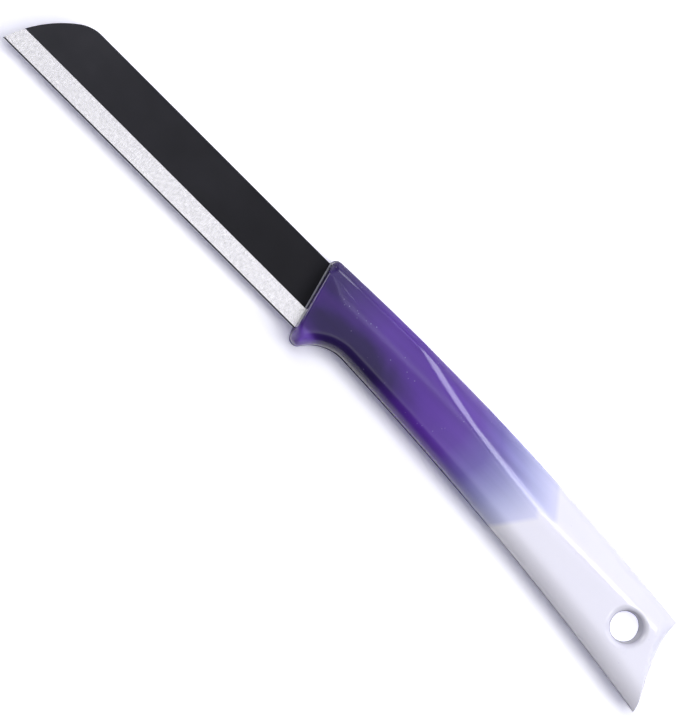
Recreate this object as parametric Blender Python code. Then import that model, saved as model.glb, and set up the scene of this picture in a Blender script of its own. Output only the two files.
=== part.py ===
# Paring knife, lying on its side: a stamped steel blade whose tang is moulded into a plastic handle.
# Metres, +Z up. The blade points along -X and its spine faces +Y. In the construction below, x is
# measured from the heel, where the cutting edge meets the handle, y from the cutting edge, and z
# from the middle of the blade's thickness. An empty then sets the knife down at its origin.

from math import asin, atan2, cos, pi, radians, sin, sqrt, tan

import bmesh
import bpy
from mathutils import Matrix, Vector

mm = 0.001
clearance = 0.3 * mm           # between the tang and the plastic round it

# Blade
blade_length = 84.5 * mm       # from the point to the heel
blade_height = 14.6 * mm
blade_thickness = 1.2 * mm
bevel_height = 4.45 * mm       # the ground strip along the cutting edge
edge_thickness = 0.12 * mm     # the flat that grinding leaves before honing
point_radius = 26.2 * mm       # long arc that rises from the point
shoulder_radius = 8.1 * mm     # short arc that rolls it into the spine
shoulder_angle = radians(37)   # slope where the two arcs meet

# Tang
heel_depth = 2.5 * mm          # full-height plate inside the handle
tang_length = 54 * mm          # from the heel
tang_height = 7 * mm
tang_corner = 1.2 * mm
key_radius = 1.9 * mm
key_margin = 15 * mm           # from the heel to the first key hole, and from the last to the end
key_count = 2

# Handle, side outline
handle_length = 105.4 * mm     # from the heel to the tip of the butt
front_lean = radians(15)       # front face, away from square
spine_crown_x = 24.6 * mm      # where the spine is highest
spine_rise = 2.2 * mm          # how far it stands above the blade's spine there
spine_radius = 688 * mm
spine_corner = 1.2 * mm        # where the front face meets the spine
guard_drop = 2.7 * mm          # how far the guard reaches below the cutting edge
nose_radius = 1.6 * mm
guard_radius = 9.5 * mm        # hollow behind the guard
waist_x = 16.3 * mm            # where the hollow has run out into the belly
waist_rise = 2.14 * mm
belly_radius = 837 * mm
butt_drop = 6.63 * mm          # tip of the butt, below the cutting edge
butt_lean = radians(18.5)
butt_hollow = 1.25 * mm        # how far the butt is scooped in
scoop_reach = 14 * mm          # how far the scoop is felt in the sections before it

# Handle, section
handle_thickness = 12 * mm
butt_thinning = 1.4 * mm
taper_start = 62 * mm          # from here the sides close in towards the butt
belly_roll = 3.2 * mm          # width of the rounding, seen from the side
butt_roll = 4.2 * mm           # the same at the butt
belly_land = 2.3 * mm          # half the flat under the rounding
spine_roll = 1.6 * mm
spine_drop = 1.2 * mm          # how much the rounding takes off each side at the spine
shoulder_width = 6.2 * mm      # the sides lean in over this width below the spine
front_shoulder = 2.9 * mm      # the same at the front
shoulder_tilt = radians(8)
shoulder_round = 0.2 * mm      # how softly the shoulder leaves the side
crease_round = 0.02 * mm       # the same at the front, where a crease shows
crease_length = 18 * mm        # how far that crease runs back
facet_start_x = 19.4 * mm      # where the flat facet leaves the spine
facet_low_x = 65 * mm          # where its ridge has come down to a level run
facet_low_y = 9.4 * mm
facet_land = 0.5 * mm          # its least width, along the front of the spine
facet_tilt = radians(45)
facet_edge = 1.2 * mm          # its least height at the spine
ridge_round = 0.4 * mm
parting_land = 0.15 * mm       # half the flat along the spine
front_fillet = 0.4 * mm
guard_fillet = 1.8 * mm        # the same round the guard's nose
guard_reach = 4 * mm           # above the cutting edge, where the fillet starts to widen
butt_bevel = 1.8 * mm
butt_land = 0.3 * mm           # half the blunt edge at the end of the butt
butt_straight = 0.4            # how straight the butt's bevel is

# Hanging hole
hole_from_tip = 13.7 * mm
hole_rise = 0.2 * mm           # above the middle between belly and spine
hole_radius = 2.95 * mm        # at its waist
hole_land = 0.5 * mm           # half the length of the waist
hole_mouth = 3.8 * mm
hole_lip = 1.4 * mm
lip_break = radians(15)        # the lip stops this far short of level and runs out straight

# Fineness of the round stretches
point_steps = 10
nose_steps = 7
hollow_steps = 9
body_steps = 40
butt_steps = 5
roll_steps = 7
face_steps = 5
facet_steps = 4
lip_steps = 4
corner_steps = 4
round_steps = 40
overshoot = 3 * mm             # how far a cutter runs past what it cuts

# Colours, linear
coating_colour = (0.021, 0.02, 0.027)
plastic_colour = (0.19, 0.11, 0.42)


# Building blocks

def clear_scene():
    for obj in list(bpy.data.objects):
        bpy.data.objects.remove(obj, do_unlink=True)


def make_material(name, colour, roughness):
    material = bpy.data.materials.new(name)
    material.use_nodes = True
    shader = material.node_tree.nodes["Principled BSDF"]
    shader.inputs["Base Color"].default_value = (*colour, 1)
    shader.inputs["Roughness"].default_value = roughness
    material.diffuse_color = (*colour, 1)
    return material


def make_object(name, builder, parent):
    bmesh.ops.recalc_face_normals(builder, faces=builder.faces)
    mesh = bpy.data.meshes.new(name)
    builder.to_mesh(mesh)
    builder.free()
    obj = bpy.data.objects.new(name, mesh)
    bpy.context.collection.objects.link(obj)
    obj.parent = parent
    return obj


def make_cutter(name, builder, parent):
    cutter = make_object(name, builder, parent)
    cutter.hide_render = True
    cutter.display_type = "WIRE"
    return cutter


def cut(obj, cutter):
    modifier = obj.modifiers.new(cutter.name, "BOOLEAN")
    modifier.operation = "DIFFERENCE"
    modifier.solver = "EXACT"
    modifier.object = cutter


def arc(centre, radius, start, end, steps):
    """Points round a centre from one angle to another, both ends included."""
    angles = [start + (end - start) * step / steps for step in range(steps + 1)]
    return [centre + radius * Vector((cos(angle), sin(angle))) for angle in angles]


def angle_of(vector):
    return atan2(vector.y, vector.x)


def meeting_of_circles(first, first_radius, second, second_radius):
    """The point at two distances from two centres, on the left of the way from first to second."""
    apart = second - first
    along = (first_radius ** 2 - second_radius ** 2 + apart.length_squared) / (2 * apart.length)
    across = sqrt(first_radius ** 2 - along ** 2)
    way = apart.normalized()
    return first + along * way + across * Vector((-way.y, way.x))


def smooth_least(first, second, width):
    """The lesser of two values, rounded where they cross."""
    blend = max(width - abs(first - second), 0) / width
    return min(first, second) - blend * blend * width / 4


def smooth_step(value):
    value = min(max(value, 0), 1)
    return value * value * (3 - 2 * value)


def nearest(point, outline):
    """Distance from a point to a line of points."""
    least = handle_length
    for start, end in zip(outline, outline[1:]):
        way = end - start
        share = min(max((point - start).dot(way) / way.length_squared, 0), 1)
        least = min(least, (point - start - way * share).length)
    return least


def extruded(corners, way):
    """A closed prism from a flat ring of corners."""
    builder = bmesh.new()
    face = builder.faces.new([builder.verts.new(corner) for corner in corners])
    made = bmesh.ops.extrude_face_region(builder, geom=[face])["geom"]
    moved = [item for item in made if isinstance(item, bmesh.types.BMVert)]
    bmesh.ops.translate(builder, verts=moved, vec=way)
    return builder


def plate(outline, half):
    return extruded([(point.x, point.y, -half) for point in outline], (0, 0, 2 * half))


def turned(profile, centre):
    """A closed solid of revolution about an upright axis, from radius and height pairs."""
    builder = bmesh.new()
    rings = []
    for radius, height in profile:
        ring = arc(centre, radius, 0, 2 * pi, round_steps)[:-1]
        rings.append([builder.verts.new((point.x, point.y, height)) for point in ring])
    for ring, following in zip(rings, rings[1:]):
        for index in range(round_steps):
            after = (index + 1) % round_steps
            builder.faces.new((ring[index], ring[after], following[after], following[index]))
    builder.faces.new(rings[0][::-1])
    builder.faces.new(rings[-1])
    return builder


# Side outline of the handle

spine_height = blade_height + spine_rise
front_x = -spine_height * tan(front_lean)
front_inward = Vector((cos(front_lean), sin(front_lean)))
butt_tip = Vector((handle_length, -butt_drop))


def spine_y(x):
    return spine_height - spine_radius + sqrt(spine_radius ** 2 - (x - spine_crown_x) ** 2)


def meet_spine(line_x, depth=0):
    """Where a leaning line, given as x for each y, comes within a depth of the spine."""
    y = spine_height
    for step in range(6):
        y = spine_y(line_x(y)) - depth
    return Vector((line_x(y), y))


def belly_centre():
    """Centre of the long arc through the waist and the butt's tip. It lies below the handle."""
    waist = Vector((waist_x, waist_rise))
    half = (butt_tip - waist) / 2
    below = sqrt(belly_radius ** 2 - half.length_squared)
    return waist + half + below * Vector((half.y, -half.x)).normalized()


def belly_y(x):
    centre = belly_centre()
    return centre.y + sqrt(belly_radius ** 2 - (x - centre.x) ** 2)


def belly_outline():
    """The guard's nose, the hollow behind it and the long belly, from the front face to the butt."""
    nose_y = nose_radius - guard_drop
    nose = Vector(((nose_radius - nose_y * sin(front_lean)) / cos(front_lean), nose_y))
    belly = belly_centre()
    hollow = meeting_of_circles(nose, nose_radius + guard_radius, belly, belly_radius - guard_radius)
    nose_end = angle_of(hollow - nose)
    belly_start = angle_of(hollow - belly)
    belly_end = angle_of(butt_tip - belly)
    bevel = butt_bevel / cos(butt_lean) / belly_radius
    points = arc(nose, nose_radius, angle_of(-front_inward), nose_end, nose_steps)[:-1]
    points += arc(hollow, guard_radius, nose_end + pi, belly_start, hollow_steps)[:-1]
    points += arc(belly, belly_radius, belly_start, belly_end + bevel, body_steps)
    for step in range(1, butt_steps + 1):
        angle = belly_end + bevel * (1 - sin(pi / 2 * step / butt_steps))
        points.append(belly + belly_radius * Vector((cos(angle), sin(angle))))
    return points


def spine_outline(belly):
    """The front corner and the long spine, with one point for each point of the belly."""
    corner = meet_spine(lambda y: (spine_corner - y * sin(front_lean)) / cos(front_lean), spine_corner)
    points = arc(corner, spine_corner, pi + front_lean, pi / 2, nose_steps)[:-1]
    butt_corner = meet_spine(lambda y: handle_length - (y + butt_drop) * tan(butt_lean))
    behind_nose = belly[nose_steps].x
    for point in belly[nose_steps:]:
        along = (point.x - behind_nose) / (butt_tip.x - behind_nose)
        x = corner.x + along * (butt_corner.x - corner.x)
        points.append(Vector((x, spine_y(x))))
    return points


# Section of the handle

def half_thickness(x):
    taper = max(x - taper_start, 0) / (handle_length - taper_start)
    return (handle_thickness - butt_thinning * taper ** 2) / 2


def rounding(distance, width, straight):
    """Height, from 0 to 1, of a rolled edge at a distance from the outline."""
    rest = 1 - min(distance / width, 1)
    return straight * (1 - rest) + (1 - straight) * sqrt(1 - rest * rest)


def swept_back(x):
    """0 at the front corner, 1 where the crease has run out."""
    return smooth_step((x - front_x) / crease_length)


def shoulder_width_at(x):
    return front_shoulder + (shoulder_width - front_shoulder) * swept_back(x)


def belly_roll_width(x):
    return belly_roll + (butt_roll - belly_roll) * smooth_step(x / handle_length)


def facet_width(x):
    """From the spine down to the ridge, which sweeps away from the spine to a level run."""
    swept = max(facet_low_x - x, 0) / (facet_low_x - facet_start_x)
    ridge_y = facet_low_y + (spine_y(facet_start_x) - facet_low_y) * swept ** 2
    return max(spine_y(x) - ridge_y, facet_land)


def side_height(x, from_spine):
    """The flat side and the shoulder that leans in above it."""
    half = half_thickness(x)
    shoulder = half - tan(shoulder_tilt) * (shoulder_width_at(x) - from_spine)
    blend = crease_round + (shoulder_round - crease_round) * swept_back(x)
    return smooth_least(half, shoulder, blend)


def body_height(x, from_belly, from_spine):
    """Half thickness before the two ends are rounded."""
    width = facet_width(x)
    at_ridge = side_height(x, width)
    at_spine = max(at_ridge - tan(facet_tilt) * width, facet_edge)
    facet = at_spine + (at_ridge - at_spine) * from_spine / width
    height = smooth_least(side_height(x, from_spine), facet, ridge_round)
    spine_land = max(at_spine - spine_drop, parting_land)
    height = spine_land + (height - spine_land) * rounding(from_spine, spine_roll, 0)
    return belly_land + (height - belly_land) * rounding(from_belly, belly_roll_width(x), 0)


def fillet_width(y):
    """The front fillet is narrow beside the blade and widens round the guard's nose."""
    down = smooth_step((guard_reach - y) / (guard_reach + guard_drop))
    return front_fillet + (guard_fillet - front_fillet) * down


def end_share(point, from_butt):
    """How much of the height the front fillet and the butt's bevel leave."""
    half = half_thickness(point.x)
    fillet = fillet_width(point.y)
    front = 1 - fillet / half * (1 - rounding(max(point.dot(front_inward), 0), fillet, 0))
    return front * max(rounding(from_butt, butt_bevel, butt_straight), butt_land / half)


def distances_up(width, x):
    """Where a section has its points, as distances from the belly up to the spine."""
    ridge = facet_width(x)
    shoulder = max(shoulder_width_at(x), ridge + 2 * ridge_round)
    rim = ridge * spine_roll / (ridge + spine_roll)
    belly = belly_roll_width(x)
    face = width - shoulder - belly
    low = [belly * (1 - cos(pi / 2 * step / roll_steps)) for step in range(roll_steps)]
    flat = [belly + face * step / face_steps for step in range(face_steps)]
    roll = [shoulder + (ridge - shoulder) * sin(pi / 2 * step / roll_steps) for step in range(roll_steps)]
    facet = [ridge + (rim - ridge) * step / facet_steps for step in range(facet_steps)]
    edge = [rim * (1 - sin(pi / 2 * step / facet_steps)) for step in range(facet_steps + 1)]
    return low + flat + [width - distance for distance in roll + facet + edge]


def section(low, high, belly, spine):
    """Points over the parting plane, from the belly to the spine."""
    width = (high - low).length
    from_butt = (butt_tip.x - low.x) * cos(butt_lean)
    scoop = butt_hollow * max(1 - from_butt / scoop_reach, 0) ** 2
    deepest = 2 / 3
    points = []
    for distance in distances_up(width, (low.x + high.x) / 2):
        share = distance / width
        flat = low.lerp(high, share)
        height = body_height(flat.x, nearest(flat, belly), nearest(flat, spine))
        height = max(height * end_share(flat, from_butt), parting_land)
        scooped = scoop * (share / deepest) ** 2 * (1 - share) / (1 - deepest)
        points.append(Vector((flat.x - scooped, flat.y, height)))
    return points


def handle_skin():
    """A loft through all the sections. The two halves mirror each other in the parting plane."""
    builder = bmesh.new()
    belly = belly_outline()
    spine = spine_outline(belly)
    rings = []
    for low, high in zip(belly, spine):
        points = section(low, high, belly, spine)
        upper = [builder.verts.new(point) for point in points]
        lower = [builder.verts.new((point.x, point.y, -point.z)) for point in points]
        rings.append(upper + lower[::-1])
    for ring, following in zip(rings, rings[1:]):
        for index in range(len(ring)):
            after = (index + 1) % len(ring)
            builder.faces.new((ring[index], ring[after], following[after], following[index]))
    for ring in (rings[0], rings[-1]):
        for index in range(len(ring) // 2 - 1):
            builder.faces.new((ring[index], ring[index + 1], ring[-index - 2], ring[-index - 1]))
    return builder


# Hanging hole

def hole_centre():
    x = handle_length - hole_from_tip
    return Vector((x, (spine_y(x) + belly_y(x)) / 2 + hole_rise))


def hole_profile():
    """Radius and height: a waist in the middle, a flare to both mouths, and a rounded lip."""
    top = half_thickness(handle_length - hole_from_tip)
    lip = arc(Vector((hole_mouth + hole_lip, top - hole_lip)), hole_lip, pi, pi / 2 + lip_break, lip_steps)
    lip.append(lip[-1] + overshoot * Vector((1, tan(lip_break))))
    upper = [(hole_radius, hole_land)] + [(point.x, point.y) for point in lip]
    return [(radius, -height) for radius, height in reversed(upper)] + upper


# Blade and tang

def tang_y():
    """The tang lies half way between belly and spine."""
    middle = tang_length / 2
    return (spine_y(middle) + belly_y(middle)) / 2


def plate_end(grow=0):
    """The plate inside the handle, round the tang from the spine side to the edge side."""
    heel = heel_depth + grow
    radius = tang_corner + grow
    x = tang_length + grow - radius
    above = tang_y() + tang_height / 2 + grow
    below = tang_y() - tang_height / 2 - grow
    corners = arc(Vector((x, above - radius)), radius, pi / 2, 0, corner_steps)
    corners += arc(Vector((x, below + radius)), radius, 0, -pi / 2, corner_steps)
    shoulder = [Vector((heel, blade_height + grow)), Vector((heel, above))]
    return shoulder + corners + [Vector((heel, below)), Vector((heel, -grow))]


def blade_outline():
    """A sheepsfoot: straight edge, and a long and a short arc from the point to the spine."""
    normal = Vector((-sin(shoulder_angle), cos(shoulder_angle)))
    crown = Vector((0, blade_height - shoulder_radius))
    rise = crown + (shoulder_radius - point_radius) * normal
    foot = pi - asin(-rise.y / point_radius)
    long_arc = arc(rise, point_radius, foot, pi / 2 + shoulder_angle, point_steps)
    short_arc = arc(crown, shoulder_radius, pi / 2 + shoulder_angle, pi / 2, point_steps)
    outline = long_arc[:-1] + short_arc
    shift = Vector((-blade_length - long_arc[0].x, 0))
    return [point + shift for point in outline] + plate_end()


def grinding():
    """Two wedges that leave the bevel on both sides of the cutting edge."""
    half = blade_thickness / 2
    slope = (half - edge_thickness / 2) / bevel_height
    wedges = bmesh.new()
    start = -blade_length - overshoot
    for side in (1, -1):
        corners = [
            (start, bevel_height, side * half),
            (start, -overshoot, side * (half - slope * (bevel_height + overshoot))),
            (start, -overshoot, side * (half + overshoot)),
            (start, bevel_height, side * (half + overshoot)),
        ]
        wedge = extruded(corners, (heel_depth + overshoot - start, 0, 0))
        mesh = bpy.data.meshes.new("wedge")
        wedge.to_mesh(mesh)
        wedge.free()
        wedges.from_mesh(mesh)
        bpy.data.meshes.remove(mesh)
    return wedges


def key_pins(radius, half):
    """Upright cylinders at the tang's key holes."""
    builder = bmesh.new()
    spacing = (tang_length - 2 * key_margin) / (key_count - 1)
    for number in range(key_count):
        place = Matrix.Translation((key_margin + number * spacing, tang_y(), 0))
        bmesh.ops.create_cone(builder, cap_ends=True, segments=round_steps, radius1=radius, radius2=radius,
                              depth=2 * half, matrix=place)
    return builder


def slot_outline():
    mouth = -spine_height * tan(front_lean) - overshoot
    ends = [Vector((mouth, -clearance)), Vector((mouth, blade_height + clearance))]
    return ends + plate_end(clearance)


# The two pieces

def build_blade(knife):
    blade = make_object("blade", plate(blade_outline(), blade_thickness / 2), knife)
    blade.data.materials.append(make_material("steel with a black coating", coating_colour, roughness=0.4))
    cut(blade, make_cutter("grinding_wedges", grinding(), knife))
    cut(blade, make_cutter("key_punches", key_pins(key_radius, blade_thickness / 2 + overshoot), knife))


def build_handle(knife):
    handle = make_object("handle", handle_skin(), knife)
    handle.data.shade_smooth()
    handle.data.set_sharp_from_angle(angle=radians(30))
    handle.data.materials.append(make_material("glossy moulded plastic", plastic_colour, roughness=0.25))
    slot_half = blade_thickness / 2 + clearance
    slot = make_cutter("tang_slot", plate(slot_outline(), slot_half), knife)
    cut(slot, make_cutter("key_plugs", key_pins(key_radius - clearance, slot_half + overshoot), knife))
    cut(handle, slot)
    cut(handle, make_cutter("hanging_hole", turned(hole_profile(), hole_centre()), knife))


def build_knife():
    clear_scene()
    knife = bpy.data.objects.new("knife", None)
    bpy.context.collection.objects.link(knife)
    middle_x = (handle_length - blade_length) / 2
    middle_y = (spine_height - max(butt_drop, guard_drop)) / 2
    knife.location = (-middle_x, -middle_y, handle_thickness / 2)
    build_blade(knife)
    build_handle(knife)


build_knife()
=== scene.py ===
from math import atan2, cos, pi, radians, sin, sqrt, tan

import bmesh
import bpy
import numpy as np
from mathutils import Matrix, Vector


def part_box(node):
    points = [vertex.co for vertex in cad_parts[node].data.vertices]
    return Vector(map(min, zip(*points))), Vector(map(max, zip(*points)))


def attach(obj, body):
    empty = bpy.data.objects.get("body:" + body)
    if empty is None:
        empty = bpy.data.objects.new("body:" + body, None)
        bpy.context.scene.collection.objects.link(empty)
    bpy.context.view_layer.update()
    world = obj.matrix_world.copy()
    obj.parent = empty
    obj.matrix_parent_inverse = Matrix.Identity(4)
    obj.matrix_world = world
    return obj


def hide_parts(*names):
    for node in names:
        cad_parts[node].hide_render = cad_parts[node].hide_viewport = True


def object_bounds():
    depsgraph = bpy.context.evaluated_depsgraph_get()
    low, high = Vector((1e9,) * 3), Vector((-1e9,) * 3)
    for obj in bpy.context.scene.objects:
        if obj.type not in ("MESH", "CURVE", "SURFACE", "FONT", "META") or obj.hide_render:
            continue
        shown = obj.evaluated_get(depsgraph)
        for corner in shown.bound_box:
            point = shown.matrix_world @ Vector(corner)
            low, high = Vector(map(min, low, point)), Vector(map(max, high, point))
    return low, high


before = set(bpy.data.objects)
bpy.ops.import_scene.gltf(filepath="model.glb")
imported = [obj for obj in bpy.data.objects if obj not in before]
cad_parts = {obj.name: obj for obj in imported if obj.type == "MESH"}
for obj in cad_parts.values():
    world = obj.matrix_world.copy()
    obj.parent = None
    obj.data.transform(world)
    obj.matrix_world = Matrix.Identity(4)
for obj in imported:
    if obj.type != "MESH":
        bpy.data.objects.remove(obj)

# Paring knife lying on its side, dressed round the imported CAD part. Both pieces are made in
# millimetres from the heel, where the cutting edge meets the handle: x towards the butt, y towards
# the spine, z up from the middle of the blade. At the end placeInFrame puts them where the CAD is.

mm = 0.001
mergeDistance = 1e-4     # points closer than this, in millimetres, become one
cadLow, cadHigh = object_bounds()
bladeLow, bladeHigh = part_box("blade")
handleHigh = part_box("handle")[1]
print("frame loaded with", ", ".join(sorted(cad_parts)))


# Helpers

def linearColour(hexText):
    # sRGB hex to linear, opaque
    values = [int(hexText[place:place + 2], 16) / 255 for place in (0, 2, 4)]
    return tuple(v / 12.92 if v <= 0.04045 else ((v + 0.055) / 1.055) ** 2.4 for v in values) + (1,)


def addNode(tree, kind, inputs=None, **settings):
    # one node with its settings; an input takes a value, a socket, or a node's first output
    node = tree.nodes.new(kind)
    for name, value in settings.items():
        setattr(node, name, value)
    for place, value in (inputs or {}).items():
        if isinstance(value, bpy.types.Node):
            value = value.outputs[0]
        if isinstance(value, bpy.types.NodeSocket):
            tree.links.new(value, node.inputs[place])
        else:
            node.inputs[place].default_value = value
    return node


def setStops(ramp, stops):
    # colour ramp from pairs of place and sRGB hex
    elements = ramp.color_ramp.elements
    while len(elements) > 1:
        elements.remove(elements[0])
    elements[0].position = stops[0][0]
    elements[0].color = linearColour(stops[0][1])
    for place, colour in stops[1:]:
        elements.new(place).color = linearColour(colour)
    return ramp


def newMaterial(name):
    material = bpy.data.materials.new(name)
    material.use_nodes = True
    tree = material.node_tree
    return material, tree, tree.nodes["Principled BSDF"]


def builtPiece(name, builder):
    # what the bmesh holds, as an object of its own
    mesh = bpy.data.meshes.new(name)
    builder.to_mesh(mesh)
    builder.free()
    piece = bpy.data.objects.new(name, mesh)
    bpy.context.scene.collection.objects.link(piece)
    return piece


def solidThrough(name, rings, stripEnds=False):
    # closed solid through rings of points; an end is one face, or strips across a ring's two halves
    builder = bmesh.new()
    made = [[builder.verts.new(point) for point in ring] for ring in rings]
    for ring, following in zip(made, made[1:]):
        for index in range(len(ring)):
            after = (index + 1) % len(ring)
            builder.faces.new((ring[index], ring[after], following[after], following[index]))
    for end in (made[0], made[-1]):
        closing = [end]
        if stripEnds:
            back = end[::-1]
            closing = [(end[step], end[step + 1], back[step + 1], back[step])
                       for step in range(len(end) // 2 - 1)]
        for face in closing:
            builder.faces.new(face)
    bmesh.ops.remove_doubles(builder, verts=builder.verts, dist=mergeDistance)
    bmesh.ops.recalc_face_normals(builder, faces=builder.faces)
    return builtPiece(name, builder)


def flatten(piece):
    # the evaluated result as a plain mesh, without the modifiers
    graph = bpy.context.evaluated_depsgraph_get()
    result = bpy.data.meshes.new_from_object(piece.evaluated_get(graph))
    piece.modifiers.clear()
    piece.data = result
    result.name = piece.name


# Sizes of both pieces in millimetres, and heelPoint, the place that they are measured from

handleSizes = dict(
    length=105.4,          # heel to the tip of the butt
    thickness=12.0,
    thinning=1.4,          # how much thinner the butt is
    taperStart=62.0,       # where it starts to thin
    spineRise=2.2,         # spine of the handle above the spine of the blade
    spineCrown=24.6,       # where it is highest
    spineRadius=688.0,
    frontLean=radians(15),
    frontCorner=1.2,       # rounding of the upper corner in front
    guardDrop=2.7,         # guard below the cutting edge
    noseRadius=1.6,        # its tip
    guardRadius=9.5,       # hollow behind the guard
    waistX=16.3,           # the belly's arc runs through this point to the tip of the butt
    waistRise=2.14,
    bellyRadius=837.0,
    buttDrop=6.63,         # tip of the butt below the cutting edge
    buttLean=radians(18.5),
    buttHollow=1.25,       # scoop in the end of the butt
    scoopReach=14.0,       # it runs out this far before the tip
    bellyRoll=3.1,         # width of the rounding along the belly
    rollPower=2.4,         # over 2, so that it leaves the side softly
    buttRoll=4.8,          # the same at the butt
    bellyLand=2.1,         # half the flat under it
    spineRoll=1.6,
    spineDrop=1.2,         # what that rounding takes off each side
    shoulderWidth=5.5,     # the sides lean in over this width below the spine
    frontShoulder=2.9,     # the same at the front
    shoulderTilt=radians(8),
    shoulderRound=0.14,    # how softly the shoulder leaves the side
    creaseRound=0.02,      # the same at the front, a crease
    creaseLength=9.0,
    facetStart=19.4,       # where the facet leaves the spine
    facetLowX=65.0,        # from here its ridge runs level
    facetLowY=8.9,
    facetSweep=1.5,        # power by which it falls to there
    facetLand=0.5,         # width of the facet before its start, lost in the spine's rounding
    facetTilt=radians(45),
    facetEdge=1.2,         # least height of the facet at the spine
    ridgeRound=1.4,        # where the ridge leaves the spine
    ridgeRoundLow=1.0,     # where it runs level
    creaseHeight=0.06,     # step of a fine crease over the shoulder, at the front
    creaseWidth=0.2,
    creaseDown=2.9,        # below the spine at the front corner
    creaseSlope=0.14,      # it draws away from the spine
    creaseEnd=16.0,        # from the front corner to where it has run out
    seamHeight=0.16,       # moulding seam, proud of belly and spine
    seamInside=0.99,       # share of it that shows, just inside the CAD's box
    seamHalf=0.05,         # half the width of its crest
    seamFoot=0.1,          # and of its foot
    leastHalf=0.15,        # the skin's half height is never less
    frontFillet=0.5,       # rounding of the edge in front
    guardFillet=1.8,       # the same at the tip of the guard
    guardReach=4.0,        # it widens from this height down
    buttBevel=3.6,         # at the spine, running out towards the tip
    buttLand=0.3,          # least width of the bevel, and half height left at its end
    buttStraight=0.4,      # 0 for a round bevel, 1 for a flat one
    holeFromTip=13.7,      # hanging hole
    holeRise=0.2,          # above the middle of the handle
    holeRadius=3.1,        # at its waist
    holeLand=0.5,          # half the height of the waist
    holeMouth=3.45,
    holeLip=1.4,           # rounding from the wall to the side
    slotPlay=0.02,         # plastic moulded tight round the plate
    sharpAngle=radians(35),
)

bladeSizes = dict(
    length=84.5,
    height=14.6,
    thickness=1.2,
    stripHeight=4.45,      # ground strip along the cutting edge
    edgeThickness=0.3,     # what the grinding leaves
    honeHeight=0.3,        # last narrow bevel at the edge
    honeEdge=0.04,         # thickness left at the very edge
    honeRow=0.3,           # next row of points above it, keeps it crisp
    spineSoftness=0.1,     # edges of the stamped outline, blunted by tumbling
    pointRadius=26.2,      # long arc up from the point
    shoulderRadius=8.1,    # short arc into the spine
    shoulderAngle=radians(37),
    heelDepth=2.5,         # full-height plate inside the handle
    heelStep=0.01,         # length over which it steps down to the tang
    tangLength=54.0,
    tangHeight=7.0,
    keyRadius=1.9,         # holes in the tang, filled by the plastic
    keyMargin=15.0,
    keyCount=2,
    keyFaces=40,
    punchDepth=4.0,        # more than the plate is thick
    sharpAngle=radians(3),
)

heelPoint = Vector((handleHigh.x - handleSizes["length"] * mm, bladeLow.y,
                    (bladeLow.z + bladeHigh.z) / 2))
placeInFrame = Matrix.Translation(heelPoint) @ Matrix.Scale(mm, 4)


def heelCoordinates(tree):
    # Object coordinates as millimetres from the heel
    place = addNode(tree, "ShaderNodeTexCoord")
    scale = 1 / mm
    return addNode(tree, "ShaderNodeMapping", {
        "Vector": place.outputs["Object"], "Scale": (scale,) * 3, "Location": -heelPoint * scale})


# Outline of the handle, points as arrays of x and y

def arcPoints(centre, radius, start, end, steps):
    angles = np.linspace(start, end, steps + 1)[:, None]
    return np.array(centre) + radius * np.hstack((np.cos(angles), np.sin(angles)))


def angleOf(way):
    return atan2(way[1], way[0])


spineHeight = bladeSizes["height"] + handleSizes["spineRise"]
frontInward = np.array((cos(handleSizes["frontLean"]), sin(handleSizes["frontLean"])))
frontX = -spineHeight * tan(handleSizes["frontLean"])
buttTip = np.array((handleSizes["length"], -handleSizes["buttDrop"]))


def spineY(x):
    radius = handleSizes["spineRadius"]
    return spineHeight - radius + np.sqrt(radius ** 2 - (x - handleSizes["spineCrown"]) ** 2)


def meetSpine(lineX, depth=0.0, rounds=6):
    # where a leaning line, x for each y, comes within a depth of the spine
    y = spineHeight
    for step in range(rounds):
        y = spineY(lineX(y)) - depth
    return np.array((lineX(y), y))


def bellyCentre():
    waist = np.array((handleSizes["waistX"], handleSizes["waistRise"]))
    half = (buttTip - waist) / 2
    below = sqrt(handleSizes["bellyRadius"] ** 2 - half @ half)
    return waist + half + below * np.array((half[1], -half[0])) / np.linalg.norm(half)


def bellyY(x):
    centre = bellyCentre()
    return centre[1] + np.sqrt(handleSizes["bellyRadius"] ** 2 - (x - centre[0]) ** 2)


def hollowCentre(nose, belly):
    # touches the nose from outside and the belly's arc from inside
    apart = belly - nose
    reach = np.linalg.norm(apart)
    first = handleSizes["noseRadius"] + handleSizes["guardRadius"]
    second = handleSizes["bellyRadius"] - handleSizes["guardRadius"]
    along = (first ** 2 - second ** 2 + reach ** 2) / (2 * reach)
    way = apart / reach
    return nose + along * way + sqrt(first ** 2 - along ** 2) * np.array((-way[1], way[0]))


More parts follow.
